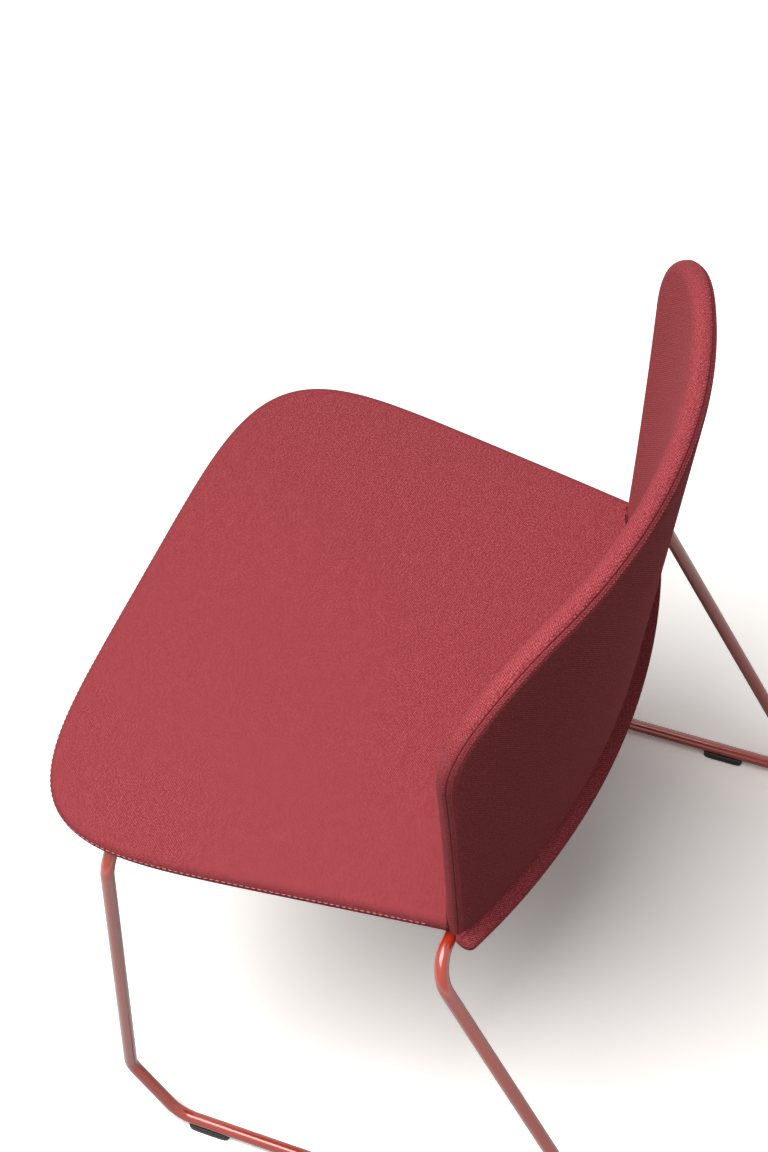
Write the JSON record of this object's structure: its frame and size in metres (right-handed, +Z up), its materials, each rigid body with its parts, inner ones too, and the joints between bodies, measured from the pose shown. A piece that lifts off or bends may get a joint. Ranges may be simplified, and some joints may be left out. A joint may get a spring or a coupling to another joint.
{
  "type": "sled base visitor chair",
  "caption": "Upholstered visitor chair: thin crowned seat and wrap-round low back on a bent round-rod sled base with clip-on glides, for sitting at a desk or in a waiting room.",
  "frame": {"origin": "centre of the chair's outline on the floor", "axes": "+Z up, -Y towards the seat's front edge, +X to the sitter's left"},
  "size_m": [0.573, 0.53, 0.781],
  "materials": {
    "frame_lacquer": "gloss powder lacquer",
    "glide_plastic": "fine grained",
    "spacer_plastic": "smooth",
    "zinc_steel": "zinc plated",
    "moulded_ply": "raw moulded plywood",
    "seat_foam": "open cell foam",
    "wool_twill": "wool twill weave",
    "wool_twill_shade": "wool twill weave",
    "seam_thread": "twisted thread in a seam"
  },
  "bodies": {
    "root": {"left_sled_rod": "frame_lacquer", "right_sled_rod": "frame_lacquer", "front_cross_bar": "frame_lacquer", "rear_cross_bar": "frame_lacquer", "front_left_glide": "glide_plastic", "front_right_glide": "glide_plastic", "rear_left_glide": "glide_plastic", "rear_right_glide": "glide_plastic", "front_left_spacer": "spacer_plastic", "front_right_spacer": "spacer_plastic", "rear_left_spacer": "spacer_plastic", "rear_right_spacer": "spacer_plastic", "glide_pins": "zinc_steel", "seat_screws": "zinc_steel", "tee_nuts": "zinc_steel", "back_brackets": "zinc_steel", "bracket_bolts": "zinc_steel", "bracket_nuts": "zinc_steel", "bracket_screws": "zinc_steel", "seat_shell": "moulded_ply", "back_shell": "moulded_ply", "seat_foam": "seat_foam", "back_foam_front": "seat_foam", "back_foam_rear": "seat_foam", "back_edge_roll": "seat_foam", "seat_cover": "wool_twill", "back_cover": "wool_twill", "seat_underside_cover": "wool_twill_shade", "back_rear_panel": "wool_twill_shade", "rear_band": "wool_twill_shade", "back_seam_welt": "seam_thread"}
  },
  "joints": []
}
